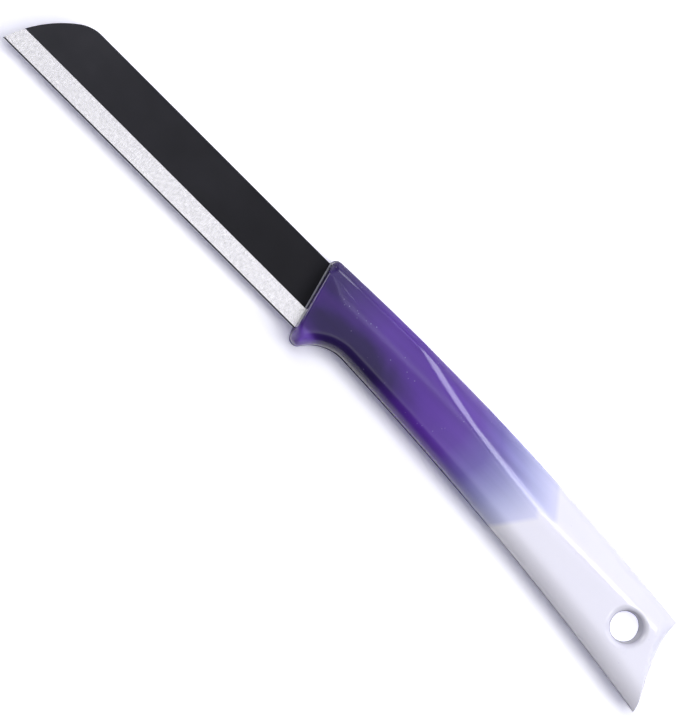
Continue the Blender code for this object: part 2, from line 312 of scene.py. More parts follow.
def outlinesOf(stations):
    # belly and spine, one point of each for every station
    radius = handleSizes["noseRadius"]
    lean = handleSizes["frontLean"]
    noseY = radius - handleSizes["guardDrop"]
    nose = np.array(((radius - noseY * sin(lean)) / cos(lean), noseY))
    centre = bellyCentre()
    hollow = hollowCentre(nose, centre)
    noseEnd = angleOf(hollow - nose)
    bellyStart = angleOf(hollow - centre)
    bellyEnd = angleOf(buttTip - centre)
    bellyRadius = handleSizes["bellyRadius"]
    bevel = handleSizes["buttBevel"] / cos(handleSizes["buttLean"]) / bellyRadius
    closing = bevel * (1 - np.sin(np.linspace(0, pi / 2, stations["butt"] + 1)[1:]))[:, None]
    buttArc = centre + bellyRadius * np.hstack((np.cos(bellyEnd + closing), np.sin(bellyEnd + closing)))
    belly = np.vstack((
        arcPoints(nose, radius, angleOf(-frontInward), noseEnd, stations["nose"])[:-1],
        arcPoints(hollow, handleSizes["guardRadius"], noseEnd + pi, bellyStart, stations["hollow"])[:-1],
        arcPoints(centre, bellyRadius, bellyStart, bellyEnd + bevel, stations["body"]),
        buttArc,
    ))
    corner = handleSizes["frontCorner"]
    turn = meetSpine(lambda y: (corner - y * sin(lean)) / cos(lean), corner)
    end = meetSpine(lambda y: buttTip[0] - (y - buttTip[1]) * tan(handleSizes["buttLean"]))
    rest = belly[stations["nose"]:, 0]
    x = turn[0] + (rest - rest[0]) / (buttTip[0] - rest[0]) * (end[0] - turn[0])
    spine = np.vstack((
        arcPoints(turn, corner, pi + lean, pi / 2, stations["nose"])[:-1],
        np.column_stack((x, spineY(x))),
    ))
    return belly, spine


# Height of the handle's skin over any point of its outline

def between(first, second, share):
    # the first value where the share is 0, the second where it is 1
    return first + (second - first) * share


def rolled(distance, width, straight):
    # 0 to 1, over the width of a rolled edge
    rest = 1 - np.clip(distance / width, 0, 1)
    return between(np.sqrt(1 - rest * rest), 1 - rest, straight)


def smoothStep(value):
    value = np.clip(value, 0, 1)
    return value * value * (3 - 2 * value)


def roundedLeast(first, second, width):
    # the lesser of two heights, rounded off where they cross
    blend = np.maximum(width - np.abs(first - second), 0) / width
    return np.minimum(first, second) - blend * blend * width / 4


def halfThickness(x):
    start = handleSizes["taperStart"]
    taper = np.maximum(x - start, 0) / (handleSizes["length"] - start)
    return (handleSizes["thickness"] - handleSizes["thinning"] * taper ** 2) / 2


def sweptBack(x):
    return smoothStep((x - frontX) / handleSizes["creaseLength"])


def bellyRollWidth(x):
    return between(handleSizes["bellyRoll"], handleSizes["buttRoll"], smoothStep(x / handleSizes["length"]))


def shoulderWidth(x):
    return between(handleSizes["frontShoulder"], handleSizes["shoulderWidth"], sweptBack(x))


def facetWidth(x):
    # spine down to the ridge
    start = handleSizes["facetStart"]
    swept = np.maximum(handleSizes["facetLowX"] - x, 0) / (handleSizes["facetLowX"] - start)
    ridge = between(handleSizes["facetLowY"], spineY(start), swept ** handleSizes["facetSweep"])
    return np.maximum(spineY(x) - ridge, handleSizes["facetLand"])


def ridgeSoftness(x):
    start = handleSizes["facetStart"]
    swept = smoothStep((x - start) / (handleSizes["facetLowX"] - start))
    return between(handleSizes["ridgeRound"], handleSizes["ridgeRoundLow"], swept)


def creaseBelow(x):
    # spine down to the fine crease
    along = np.minimum(x - frontX, handleSizes["creaseEnd"])
    return handleSizes["creaseDown"] + handleSizes["creaseSlope"] * along


def distanceTo(points, line):
    # from each point to a line of points
    least = np.full(len(points), np.inf)
    for start, end in zip(line, line[1:]):
        way = end - start
        share = np.clip((points - start) @ way / (way @ way), 0, 1)[:, None]
        least = np.minimum(least, np.linalg.norm(points - start - share * way, axis=1))
    return least


def sideHeight(x, belowSpine):
    # the flat side, the shoulder that leans in above it and the fine crease over the shoulder
    half = halfThickness(x)
    shoulder = half - tan(handleSizes["shoulderTilt"]) * (shoulderWidth(x) - belowSpine)
    softness = between(handleSizes["creaseRound"], handleSizes["shoulderRound"], sweptBack(x))
    side = roundedLeast(half, shoulder, softness)
    past = smoothStep((creaseBelow(x) - belowSpine) / handleSizes["creaseWidth"])
    left = smoothStep(1 - (x - frontX) / handleSizes["creaseEnd"])
    return side - handleSizes["creaseHeight"] * past * left


def bodyHeight(points, belly, spine):
    x = points[:, 0]
    fromSpine = distanceTo(points, spine)
    width = facetWidth(x)
    atRidge = sideHeight(x, width)
    atSpine = np.maximum(atRidge - tan(handleSizes["facetTilt"]) * width, handleSizes["facetEdge"])
    facet = between(atSpine, atRidge, fromSpine / width)
    height = roundedLeast(sideHeight(x, spineY(x) - points[:, 1]), facet, ridgeSoftness(x))
    land = np.maximum(atSpine - handleSizes["spineDrop"], handleSizes["seamFoot"])
    height = between(land, height, rolled(fromSpine, handleSizes["spineRoll"], 0))
    rest = 1 - np.clip(distanceTo(points, belly) / bellyRollWidth(x), 0, 1)
    return between(handleSizes["bellyLand"], height, np.sqrt(1 - rest ** handleSizes["rollPower"]))


def endShare(points, fromButt, share):
    # what the fillet at the front and the bevel at the butt leave of the height; the last value is
    # 0 at the belly and 1 at the spine
    half = halfThickness(points[:, 0])
    width = np.maximum(handleSizes["buttBevel"] * share, handleSizes["buttLand"])
    reach = handleSizes["guardReach"]
    down = smoothStep((reach - points[:, 1]) / (reach + handleSizes["guardDrop"]))
    fillet = between(handleSizes["frontFillet"], handleSizes["guardFillet"], down)
    front = 1 - fillet / half * (1 - rolled(np.maximum(points @ frontInward, 0), fillet, 0))
    bevel = rolled(fromButt, width, handleSizes["buttStraight"])
    return front * np.maximum(bevel, handleSizes["buttLand"] / half)


# Sections and the loft through them

handleStations = dict(nose=26, hollow=30, body=180, butt=16)
coarseStations = dict(nose=6, hollow=8, body=60, butt=4)
sectionSteps = dict(low=14, face=16, roll=18, crease=6, facet=14, edge=8)
fineMargin = 0.5          # the points lie closer from this far below the shoulder and the crease


def distancesUp(width, x):
    # where a section has its points, from the belly up to the spine
    roll = bellyRollWidth(x)
    ridge = facetWidth(x)
    crease = creaseBelow(x)
    fine = max(max(shoulderWidth(x), crease) + fineMargin, ridge + 2 * ridgeSoftness(x))
    rim = ridge * handleSizes["spineRoll"] / (ridge + handleSizes["spineRoll"])
    low = roll * (1 - np.cos(np.linspace(0, pi / 2, sectionSteps["low"], endpoint=False)))
    face = np.linspace(roll, width - fine, sectionSteps["face"], endpoint=False)
    turn = np.sin(np.linspace(0, pi / 2, sectionSteps["roll"], endpoint=False))
    belowSpine = (
        fine + (ridge - fine) * turn,
        np.linspace(crease, crease - handleSizes["creaseWidth"], sectionSteps["crease"]),
        np.linspace(ridge, rim, sectionSteps["facet"], endpoint=False),
        rim * (1 - np.sin(np.linspace(0, pi / 2, sectionSteps["edge"] + 1))),
    )
    return np.concatenate((low, face, width - np.sort(np.concatenate(belowSpine))[::-1]))


def handleSections(belly, spine):
    # a row of points with their heights for each station
    widths = np.linalg.norm(spine - belly, axis=1)
    ups = np.array([distancesUp(width, (low[0] + high[0]) / 2)
                    for width, low, high in zip(widths, belly, spine)])
    shares = (ups / widths[:, None])[:, :, None]
    flat = belly[:, None] + shares * (spine - belly)[:, None]
    fromButt = (buttTip[0] - belly[:, 0]) * cos(handleSizes["buttLean"])
    points = flat.reshape(-1, 2)
    share = shares[:, :, 0]
    height = bodyHeight(points, belly, spine)
    height = height * endShare(points, np.repeat(fromButt, ups.shape[1]), share.ravel())
    height = np.maximum(height.reshape(ups.shape), handleSizes["leastHalf"])
    scoop = handleSizes["buttHollow"] * np.maximum(1 - fromButt / handleSizes["scoopReach"], 0) ** 2
    deepest = 2 / 3           # share of the way up where the scoop below is deepest
    scooped = scoop[:, None] * (share / deepest) ** 2 * (1 - share) / (1 - deepest)
    flat[:, :, 0] -= scooped
    return np.dstack((flat, height))


def handleRings():
    # upper half from belly to spine, then the lower half back; the seam stands proud at both turns
    belly, spine = outlinesOf(handleStations)
    up = spine - belly
    up = up / np.linalg.norm(up, axis=1)[:, None] * handleSizes["seamHeight"]
    upper = handleSections(belly + up, spine - up)
    crest = np.full(len(up), handleSizes["seamHalf"])
    foot = np.full(len(up), handleSizes["seamFoot"])
    proud = handleSizes["seamInside"] * up
    atBelly, atSpine = upper[:, 0, :2], upper[:, -1, :2]
    low = (np.column_stack((atBelly - proud, crest)), np.column_stack((atBelly, foot)))
    high = (np.column_stack((atSpine, foot)), np.column_stack((atSpine + proud, crest)))
    upper = np.concatenate((np.stack(low, axis=1), upper, np.stack(high, axis=1)), axis=1)
    return np.concatenate((upper, upper[:, ::-1] * (1, 1, -1)), axis=1)


# Cutters for the handle

def tangMiddle():
    middle = bladeSizes["tangLength"] / 2
    return (spineY(middle) + bellyY(middle)) / 2


def slotCutter(reach=3.0):
    play = handleSizes["slotPlay"]
    outside = frontX - reach
    high = bladeSizes["height"] + play
    heel = bladeSizes["heelDepth"] + play
    end = bladeSizes["tangLength"] + play
    above = tangMiddle() + bladeSizes["tangHeight"] / 2 + play
    below = tangMiddle() - bladeSizes["tangHeight"] / 2 - play
    outline = [(outside, -play), (outside, high), (heel, high), (heel, above), (end, above),
               (end, below), (heel, below), (heel, -play)]
    half = bladeSizes["thickness"] / 2 + play
    return solidThrough("slotCutter", [[(x, y, z) for x, y in outline] for z in (-half, half)])


def holeMiddle():
    x = handleSizes["length"] - handleSizes["holeFromTip"]
    return np.array((x, (spineY(x) + bellyY(x)) / 2 + handleSizes["holeRise"]))


def holeCutter(steps=96, lipSteps=14, flare=0.5):
    # waist and soft lip, following the slope of the handle's side, then a flare out of the plastic
    centre = holeMiddle()
    belly, spine = outlinesOf(coarseStations)
    lip = handleSizes["holeLip"]
    around = np.linspace(0, 2 * pi, steps, endpoint=False)
    ringWay = np.column_stack((np.cos(around), np.sin(around)))
    profile = []
    lastAngle = radians(84)     # stops short of tangent, so that the cut is clean
    for step in range(lipSteps + 1):
        angle = lastAngle * step / lipSteps
        profile.append((handleSizes["holeMouth"] + lip * (1 - cos(angle)), lip * (sin(angle) - 1)))
    upper = []
    for radius, depth in profile:
        points = centre + radius * ringWay
        height = bodyHeight(points, belly, spine) + depth
        upper.append(np.column_stack((points, height)))
    waist = centre + handleSizes["holeRadius"] * ringWay
    outside = centre + (profile[-1][0] + flare) * ringWay
    upper.insert(0, np.column_stack((waist, np.full(steps, handleSizes["holeLand"]))))
    upper.append(np.column_stack((outside, np.full(steps, handleSizes["thickness"]))))
    lower = [ring * (1, 1, -1) for ring in upper[::-1]]
    return solidThrough("holeCutter", [ring.tolist() for ring in lower + upper])


# Blade: a flat sheet of the stamped outline, given its thickness and grinding by a node tree

def bladeTop(pointSteps=36, spineSteps=24):
    # from the point over its long arc and a short one to the straight spine, and back to the heel
    sizes = bladeSizes
    height, point, shoulder = sizes["height"], sizes["pointRadius"], sizes["shoulderRadius"]
    turn = sizes["shoulderAngle"]
    rise = np.array(((point - shoulder) * sin(turn), height - shoulder - (point - shoulder) * cos(turn)))
    foot = pi - atan2(-rise[1], sqrt(point ** 2 - rise[1] ** 2))
    longArc = arcPoints(rise, point, foot, pi / 2 + turn, pointSteps)
    shortArc = arcPoints((0, height - shoulder), shoulder, pi / 2 + turn, pi / 2, pointSteps)
    top = np.vstack((longArc[:-1], shortArc))
    top[:, 0] -= sizes["length"] + top[0, 0]
    straight = np.linspace(top[-1, 0], sizes["heelDepth"], spineSteps)[1:]
    return np.vstack((top, np.column_stack((straight, np.full(len(straight), height)))))


def bladeSheet(rowCount=6):
    # columns of points from the edge up; towards the point a row keeps to a share of the height
    sizes = bladeSizes
    hone = sizes["honeHeight"]
    rowMarks = ((hone, 0.2), (hone + sizes["honeRow"], 0.4), (sizes["stripHeight"], 0.94))
    rimShare = 0.03
    columns = []
    for x, high in bladeTop():
        marks = [0] + [min(mark, share * high) for mark, share in rowMarks]
        rest = high - min(sizes["spineSoftness"], rimShare * high)
        marks += list(np.linspace(marks[-1], rest, rowCount + 1)[1:])
        columns.append([(x, y) for y in marks + [high]])
    rows = len(columns[0])
    low = tangMiddle() - sizes["tangHeight"] / 2
    for x in (sizes["heelDepth"] + sizes["heelStep"], sizes["tangLength"]):
        columns.append([(x, low + sizes["tangHeight"] * row / (rows - 1)) for row in range(rows)])
    builder = bmesh.new()
    rim = builder.verts.layers.float.new("rim")
    made = []
    for column in columns:
        made.append([builder.verts.new((x, y, 0)) for x, y in column])
        made[-1][-1][rim] = 1
    for left, right in zip(made, made[1:]):
        for row in range(rows - 1):
            builder.faces.new((left[row], right[row], right[row + 1], left[row + 1]))
    bmesh.ops.remove_doubles(builder, verts=builder.verts, dist=mergeDistance)
    return builtPiece("knifeBlade", builder)


def grindingValues():
    # named inputs of the grinding tree
    sizes = bladeSizes
    spacing = (sizes["tangLength"] - 2 * sizes["keyMargin"]) / (sizes["keyCount"] - 1)
    return {
        "Thickness": sizes["thickness"],
        "Strip Height": sizes["stripHeight"],
        "Edge Thickness": sizes["edgeThickness"],
        "Hone Height": sizes["honeHeight"],
        "Hone Edge": sizes["honeEdge"],
        "Spine Softness": sizes["spineSoftness"],
        "Key Radius": sizes["keyRadius"],
        "First Key": sizes["keyMargin"],
        "Key Spacing": spacing,
        "Key Line": float(tangMiddle()),
        "Key Count": sizes["keyCount"],
    }


def groundHalf(tree, inside, place):
    # half thickness by height above the edge: full plate, ground strip, last bevel
    halfPlate, halfGround, halfHoned = [
        addNode(tree, "ShaderNodeMath", {0: inside[name], 1: 0.5}, operation="MULTIPLY")
        for name in ("Thickness", "Edge Thickness", "Hone Edge")]
    ground, atHone = [
        addNode(tree, "ShaderNodeMapRange", {
            "Value": height, "From Max": inside["Strip Height"], "To Min": halfGround, "To Max": halfPlate})
        for height in (place.outputs["Y"], inside["Hone Height"])]
    honed = addNode(tree, "ShaderNodeMapRange", {
        "Value": place.outputs["Y"], "From Max": inside["Hone Height"],
        "To Min": halfHoned, "To Max": atHone}, clamp=False)
    ground = addNode(tree, "ShaderNodeMath", {0: ground, 1: honed}, operation="MINIMUM")
    rim = addNode(tree, "GeometryNodeInputNamedAttribute", {"Name": "rim"}, data_type="FLOAT")
    blunted = addNode(tree, "ShaderNodeMath", {0: rim, 1: inside["Spine Softness"]}, operation="MULTIPLY")
    half = addNode(tree, "ShaderNodeMath", {0: ground, 1: blunted}, operation="SUBTRACT")
    return addNode(tree, "ShaderNodeMath", {0: half, 1: halfHoned}, operation="MAXIMUM")


def groundPlate(tree, inside, place):
    # the sheet turned over for the under side, pulled up into a plate, then both sides ground
    sheet = inside["Geometry"]
    under = addNode(tree, "GeometryNodeFlipFaces", {"Mesh": sheet})
    pulled = addNode(tree, "GeometryNodeExtrudeMesh", {
        "Mesh": sheet, "Offset": (0, 0, 1), "Individual": False}, mode="FACES")
    joined = addNode(tree, "GeometryNodeJoinGeometry", {"Geometry": under})
    tree.links.new(pulled.outputs["Mesh"], joined.inputs["Geometry"])
    plate = addNode(tree, "GeometryNodeMergeByDistance", {"Geometry": joined, "Distance": mergeDistance})
    side = addNode(tree, "ShaderNodeMath", {0: place.outputs["Z"], 1: 0.5}, operation="SUBTRACT")
    side = addNode(tree, "ShaderNodeMath", {0: side}, operation="SIGN")
    half = groundHalf(tree, inside, place)
    height = addNode(tree, "ShaderNodeMath", {0: side, 1: half}, operation="MULTIPLY")
    spot = addNode(tree, "ShaderNodeCombineXYZ", {
        "X": place.outputs["X"], "Y": place.outputs["Y"], "Z": height})
    return addNode(tree, "GeometryNodeSetPosition", {"Geometry": plate, "Position": spot})


def keyPunches(tree, inside):
    # a row of punches for the key holes in the tang
    first = addNode(tree, "ShaderNodeCombineXYZ", {"X": inside["First Key"], "Y": inside["Key Line"]})
    following = addNode(tree, "ShaderNodeCombineXYZ", {"X": inside["Key Spacing"]})
    keys = addNode(tree, "GeometryNodeMeshLine", {
        "Count": inside["Key Count"], "Start Location": first, "Offset": following})
    punch = addNode(tree, "GeometryNodeMeshCylinder", {
        "Vertices": bladeSizes["keyFaces"], "Radius": inside["Key Radius"],
        "Depth": bladeSizes["punchDepth"]})
    punches = addNode(tree, "GeometryNodeInstanceOnPoints", {"Points": keys, "Instance": punch})
    return addNode(tree, "GeometryNodeRealizeInstances", {"Geometry": punches})


def grindingTree(values, coating, steel):
    # flat sheet in, ground and punched plate out
    tree = bpy.data.node_groups.new("grindBlade", "GeometryNodeTree")
    tree.interface.new_socket("Geometry", in_out="INPUT", socket_type="NodeSocketGeometry")
    for name in values:
        kind = "NodeSocketInt" if name == "Key Count" else "NodeSocketFloat"
        tree.interface.new_socket(name, in_out="INPUT", socket_type=kind)
    tree.interface.new_socket("Geometry", in_out="OUTPUT", socket_type="NodeSocketGeometry")
    inside = addNode(tree, "NodeGroupInput").outputs
    place = addNode(tree, "ShaderNodeSeparateXYZ", {0: addNode(tree, "GeometryNodeInputPosition")})
    punched = addNode(tree, "GeometryNodeMeshBoolean", {
        "Mesh 1": groundPlate(tree, inside, place), "Mesh 2": keyPunches(tree, inside)},
        operation="DIFFERENCE", solver="EXACT")

    # the strip below its line is bare steel, the rest is coated
    low = addNode(tree, "FunctionNodeCompare", {
        0: place.outputs["Y"], 1: inside["Strip Height"]}, data_type="FLOAT", operation="LESS_THAN")
    whole = addNode(tree, "GeometryNodeRealizeInstances", {"Geometry": punched})
    whole = addNode(tree, "GeometryNodeSetMaterial", {"Geometry": whole, "Material": coating})
    whole = addNode(tree, "GeometryNodeSetMaterial", {
        "Geometry": whole, "Selection": low, "Material": steel})
    addNode(tree, "NodeGroupOutput", {"Geometry": whole})
    return tree


def makeBlade(coating, steel):
    blade = bladeSheet()
    values = grindingValues()
    tree = grindingTree(values, coating, steel)
    modifier = blade.modifiers.new("grindBlade", "NODES")
    modifier.node_group = tree
    for item in tree.interface.items_tree:
        if item.in_out == "INPUT" and item.name in values:
            modifier[item.identifier] = values[item.name]
    flatten(blade)
    blade.data.transform(placeInFrame)
    blade.data.shade_smooth()
    blade.data.set_sharp_from_angle(angle=bladeSizes["sharpAngle"])
    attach(blade, "root")
    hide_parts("blade")
    print("blade made:", len(blade.data.polygons), "faces")


def makeHandle(plastic):
    handle = solidThrough("knifeHandle", handleRings().tolist(), stripEnds=True)
    cutters = [slotCutter(), holeCutter()]
    for cutter in cutters:
        cut = handle.modifiers.new(cutter.name, "BOOLEAN")
        cut.operation = "DIFFERENCE"
        cut.solver = "EXACT"
        cut.object = cutter
    flatten(handle)
    for cutter in cutters:
        bpy.data.objects.remove(cutter)
    handle.data.materials.clear()
    handle.data.materials.append(plastic)
    handle.data.transform(placeInFrame)
    handle.data.shade_smooth()
    handle.data.set_sharp_from_angle(angle=handleSizes["sharpAngle"])
    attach(handle, "root")
    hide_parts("handle")
    print("handle made:", len(handle.data.polygons), "faces")


# Materials

bladeLooks = dict(
    # painted sheen and shade: the coating is lighter towards the point and darker towards the handle
    coating=[(-84.5, "232326"), (-55.0, "161619"), (-22.0, "08080A"), (-4.0, "030304")],
    coatingGloss=(0.4, 0.55), # roughness
    coatingIor=1.35,          # low, as non-stick coatings have
    pebbleScale=5.0,          # 0.2 mm
    pebbleBump=0.25,
    driftScale=0.08,          # clouds of about 12 mm
    drift=30.0,               # they shift the tone by this many millimetres
    jointHighlightWidth=0.25,            # painted highlight: a thin pale grey line on the blade where it meets the handle
    jointHighlightColour="A8A8AE",
    steel=[(0.3, "D6D5D8"), (0.7, "FCFBFC")],
    scratchScale=(9.0, 1.2, 1.0),
    scratchBump=0.2,
    bumpDepth=0.02,           # millimetres
    mottleScale=1.6,
    mottleShare=0.5,
    honedGloss=0.12,          # roughness of the last bevel and of the strip
    groundGloss=0.27,
    honedBlend=1.2,           # it is the strip's from so many times the bevel's height
)


def colourBy(tree, value, stops):
    # colour ramp whose stops are given in the value's own measure
    first, last = stops[0][0], stops[-1][0]
    share = addNode(tree, "ShaderNodeMapRange", {"Value": value, "From Min": first, "From Max": last})
    shares = [((place - first) / (last - first), colour) for place, colour in stops]
    return setStops(addNode(tree, "ShaderNodeValToRGB", {"Fac": share}), shares)


def nonStickCoating():
    # Stainless sheet, sprayed and baked with a black non-stick coating: a soft grey sheen that is a
    # little cloudy, with fine pebble from the spray; it darkens towards the handle, a painted sheen
    # towards the point and painted shade towards the handle.
    material, tree, shader = newMaterial("black non-stick coating, sprayed and baked")
    looks = bladeLooks
    place = heelCoordinates(tree)
    parts = addNode(tree, "ShaderNodeSeparateXYZ", {0: place})
    cloud = addNode(tree, "ShaderNodeTexNoise", {
        "Vector": place, "Scale": looks["driftScale"], "Detail": 3.0})
    drift = addNode(tree, "ShaderNodeMapRange", {
        "Value": cloud, "To Min": -looks["drift"], "To Max": looks["drift"]})
    along = addNode(tree, "ShaderNodeMath", {0: parts.outputs["X"], 1: drift}, operation="ADD")
    # painted sheen and shade along the blade, darker towards the handle, shifted by the clouds
    tint = colourBy(tree, along, looks["coating"])
    # a thin pale grey line in front of the handle, a painted highlight where handle and blade meet
    inward = addNode(tree, "ShaderNodeVectorMath", {0: place, 1: (*frontInward, 0)}, operation="DOT_PRODUCT")
    jointHighlight = addNode(tree, "ShaderNodeMath", {
        0: inward.outputs["Value"], 1: -looks["jointHighlightWidth"]}, operation="GREATER_THAN")
    tint = addNode(tree, "ShaderNodeMix", {
        0: jointHighlight, 6: tint, 7: linearColour(looks["jointHighlightColour"])}, data_type="RGBA")
    tree.links.new(tint.outputs[2], shader.inputs["Base Color"])
    low, high = looks["coatingGloss"]
    gloss = addNode(tree, "ShaderNodeMapRange", {"Value": cloud, "To Min": low, "To Max": high})
    tree.links.new(gloss.outputs[0], shader.inputs["Roughness"])
    pebble = addNode(tree, "ShaderNodeTexNoise", {
        "Vector": place, "Scale": looks["pebbleScale"], "Detail": 3.0})
    bump = addNode(tree, "ShaderNodeBump", {
        "Height": pebble, "Strength": looks["pebbleBump"], "Distance": looks["bumpDepth"] * mm})
    tree.links.new(bump.outputs[0], shader.inputs["Normal"])
    shader.inputs["IOR"].default_value = looks["coatingIor"]
    return material


def groundSteel():
    # Stainless steel, ground across its edge on a wet stone: satin, so that it fills with the pale
    # soft box above, with fine cross scratches and a faint mottle. The last bevel is honed bright
    # and mirrors the dark side of the room, a thin dark line along the edge.
    material, tree, shader = newMaterial("stainless steel, wet ground")
    looks = bladeLooks
    place = heelCoordinates(tree)
    stretched = addNode(tree, "ShaderNodeMapping", {"Vector": place, "Scale": looks["scratchScale"]})
    scratches = addNode(tree, "ShaderNodeTexNoise", {"Vector": stretched, "Scale": 1.0, "Detail": 4.0})
    mottle = addNode(tree, "ShaderNodeTexNoise", {
        "Vector": place, "Scale": looks["mottleScale"], "Detail": 3.0})
    blend = addNode(tree, "ShaderNodeMix", {0: looks["mottleShare"], 2: scratches, 3: mottle})
    tint = setStops(addNode(tree, "ShaderNodeValToRGB", {"Fac": blend}), looks["steel"])
    tree.links.new(tint.outputs["Color"], shader.inputs["Base Color"])
    height = addNode(tree, "ShaderNodeSeparateXYZ", {0: place}).outputs["Y"]
    hone = bladeSizes["honeHeight"]
    gloss = addNode(tree, "ShaderNodeMapRange", {
        "Value": height, "From Min": hone, "From Max": hone * looks["honedBlend"],
        "To Min": looks["honedGloss"], "To Max": looks["groundGloss"]})
    tree.links.new(gloss.outputs[0], shader.inputs["Roughness"])
    shader.inputs["Metallic"].default_value = 1.0
    bump = addNode(tree, "ShaderNodeBump", {
        "Height": scratches, "Strength": looks["scratchBump"], "Distance": looks["bumpDepth"] * mm})
    tree.links.new(bump.outputs[0], shader.inputs["Normal"])
    return material


plasticSizes = dict(
    # violet to white, millimetres before the end of the fade and sRGB
    fade=[(-35.4, "4E278C"), (-29.3, "522C90"), (-22.4, "5A3B97"), (-16.0, "695EA3"), (-10.0, "8F90BE"),
          (-4.5, "B6B9DA"), (-0.3, "D0D1EA")],
    sideEnd=(62.3, 7.3),      # tip of the violet on the flat side
    facetEnd=(65.8, 9.5),     # its tip on the facet
    ridgeBlend=0.3,           # to both sides of the ridge, from one to the other
    fadeSlant=(0.2, 0.8),     # on side and facet the fade draws back this fast beside the tip
    endSlant=0.72,            # and its end, a sharp wedge
    endWidth=(-0.4, 0.9),
    whiteColour="E5E4ED",
    cloudMiddle=(11.0, 4.9),  # darker violet on the side, behind the guard
    cloudReach=(19.0, 6.2),
    cloudEdge=(1.15, 0.4),    # share of that reach where it starts and where it is full
    cloudColour="231646",
    noseHighlightMiddle=(2.3, -0.3),   # and a painted highlight, lighter violet, on the guard's nose
    noseHighlightReach=(4.2, 2.2),
    noseHighlightEdge=(1.0, 0.2),
    noseColour="6C4FAA",
    frontColour="2E1C58",     # painted shade: the violet is deeper at the front
    frontShadeReach=14.0,
    frontShadeHeight=(7.0, 10.5),  # and only towards the spine
    driftScale=0.09,          # swirls of about 11 mm
    drift=1.6,
    ragged=0.12,              # how far they break up the edge of the darker patch
    # painted reflection bands, streaked along the handle
    streakScale=(0.025, 0.4, 0.4),
    streakEdge=(0.3, 0.7),    # noise values that are lightest and darkest
    streaks=0.1,
    streaksEnd=12.0,          # they run out this far before the white
    speckScale=0.9,           # one pale speck of dust in some cells of 1.1 mm
    speckSize=0.07,           # radius, share of a cell; gone at twice that
    speckPatch=(0.5, 0.68),   # they lie in patches, where the swirl is in this range
    speckShare=0.8,           # so many cells have one, in the middle of a patch
    speckColour="B9AEDC",
    speckStrength=0.25,
    roughness=0.2,
    ior=1.49,                 # polypropylene
)


def distanceFrom(tree, place, middle, reach):
    # 0 at the middle of an ellipse on the side of the knife, 1 on its outline
    scale = [1 / radius for radius in reach] + [0]
    offset = [-centre / radius for centre, radius in zip(middle, reach)] + [0]
    share = addNode(tree, "ShaderNodeMapping", {"Vector": place, "Location": offset, "Scale": scale})
    return addNode(tree, "ShaderNodeVectorMath", {0: share}, operation="LENGTH").outputs["Value"]


def aboveRidge(tree, parts):
    # 0 on the side, 1 on the facet
    start, low = handleSizes["facetStart"], handleSizes["facetLowX"]
    lowY = handleSizes["facetLowY"]
    swept = addNode(tree, "ShaderNodeMapRange", {
        "Value": parts.outputs["X"], "From Min": low, "From Max": start})
    fall = addNode(tree, "ShaderNodeMath", {0: swept, 1: handleSizes["facetSweep"]}, operation="POWER")
    ridge = addNode(tree, "ShaderNodeMath", {
        0: fall, 1: spineY(start) - lowY, 2: lowY}, operation="MULTIPLY_ADD")
    above = addNode(tree, "ShaderNodeMath", {0: parts.outputs["Y"], 1: ridge}, operation="SUBTRACT")
    blend = plasticSizes["ridgeBlend"]
    return addNode(tree, "ShaderNodeMapRange", {"Value": above, "From Min": -blend, "From Max": blend})


def specks(tree, place, swirl):
    # how much of the dust's colour shows
    sizes = plasticSizes
    cells = addNode(tree, "ShaderNodeTexVoronoi", {"Vector": place, "Scale": sizes["speckScale"]})
    near = addNode(tree, "ShaderNodeMapRange", {
        "Value": cells.outputs["Distance"], "From Min": 2 * sizes["speckSize"],
        "From Max": sizes["speckSize"], "To Max": sizes["speckStrength"]})
    chance = addNode(tree, "ShaderNodeSeparateColor", {0: cells.outputs["Color"]})
    low, high = sizes["speckPatch"]
    many = addNode(tree, "ShaderNodeMapRange", {
        "Value": swirl, "From Min": low, "From Max": high, "To Max": sizes["speckShare"]})
    chosen = addNode(tree, "ShaderNodeMath", {0: chance.outputs["Red"], 1: many}, operation="LESS_THAN")
    return addNode(tree, "ShaderNodeMath", {0: near, 1: chosen}, operation="MULTIPLY")


def pastTip(tree, parts, onFacet):
    # along the handle from the tip of the violet, and away from the tip to both sides
    tip = [addNode(tree, "ShaderNodeMix", {0: onFacet, 2: side, 3: facet})
           for side, facet in zip(plasticSizes["sideEnd"], plasticSizes["facetEnd"])]
    along = addNode(tree, "ShaderNodeMath", {0: parts.outputs["X"], 1: tip[0]}, operation="SUBTRACT")
    away = addNode(tree, "ShaderNodeMath", {0: parts.outputs["Y"], 1: tip[1]}, operation="SUBTRACT")
    return along, addNode(tree, "ShaderNodeMath", {0: away}, operation="ABSOLUTE")


def paintedFrontShade(tree, parts):
    # how much painted shade deepens the violet, most in the upper corner in front
    low, high = plasticSizes["frontShadeHeight"]
    front = addNode(tree, "ShaderNodeMapRange", {
        "Value": parts.outputs["X"], "From Min": plasticSizes["frontShadeReach"], "From Max": 0.0})
    upper = addNode(tree, "ShaderNodeMapRange", {
        "Value": parts.outputs["Y"], "From Min": low, "From Max": high})
    return addNode(tree, "ShaderNodeMath", {0: front, 1: upper}, operation="MULTIPLY")


def softPatch(tree, distance, edge):
    # soft patch between two distances from its middle
    outer, inner = edge
    return addNode(tree, "ShaderNodeMapRange", {
        "Value": distance, "From Min": outer, "From Max": inner}, interpolation_type="SMOOTHSTEP")


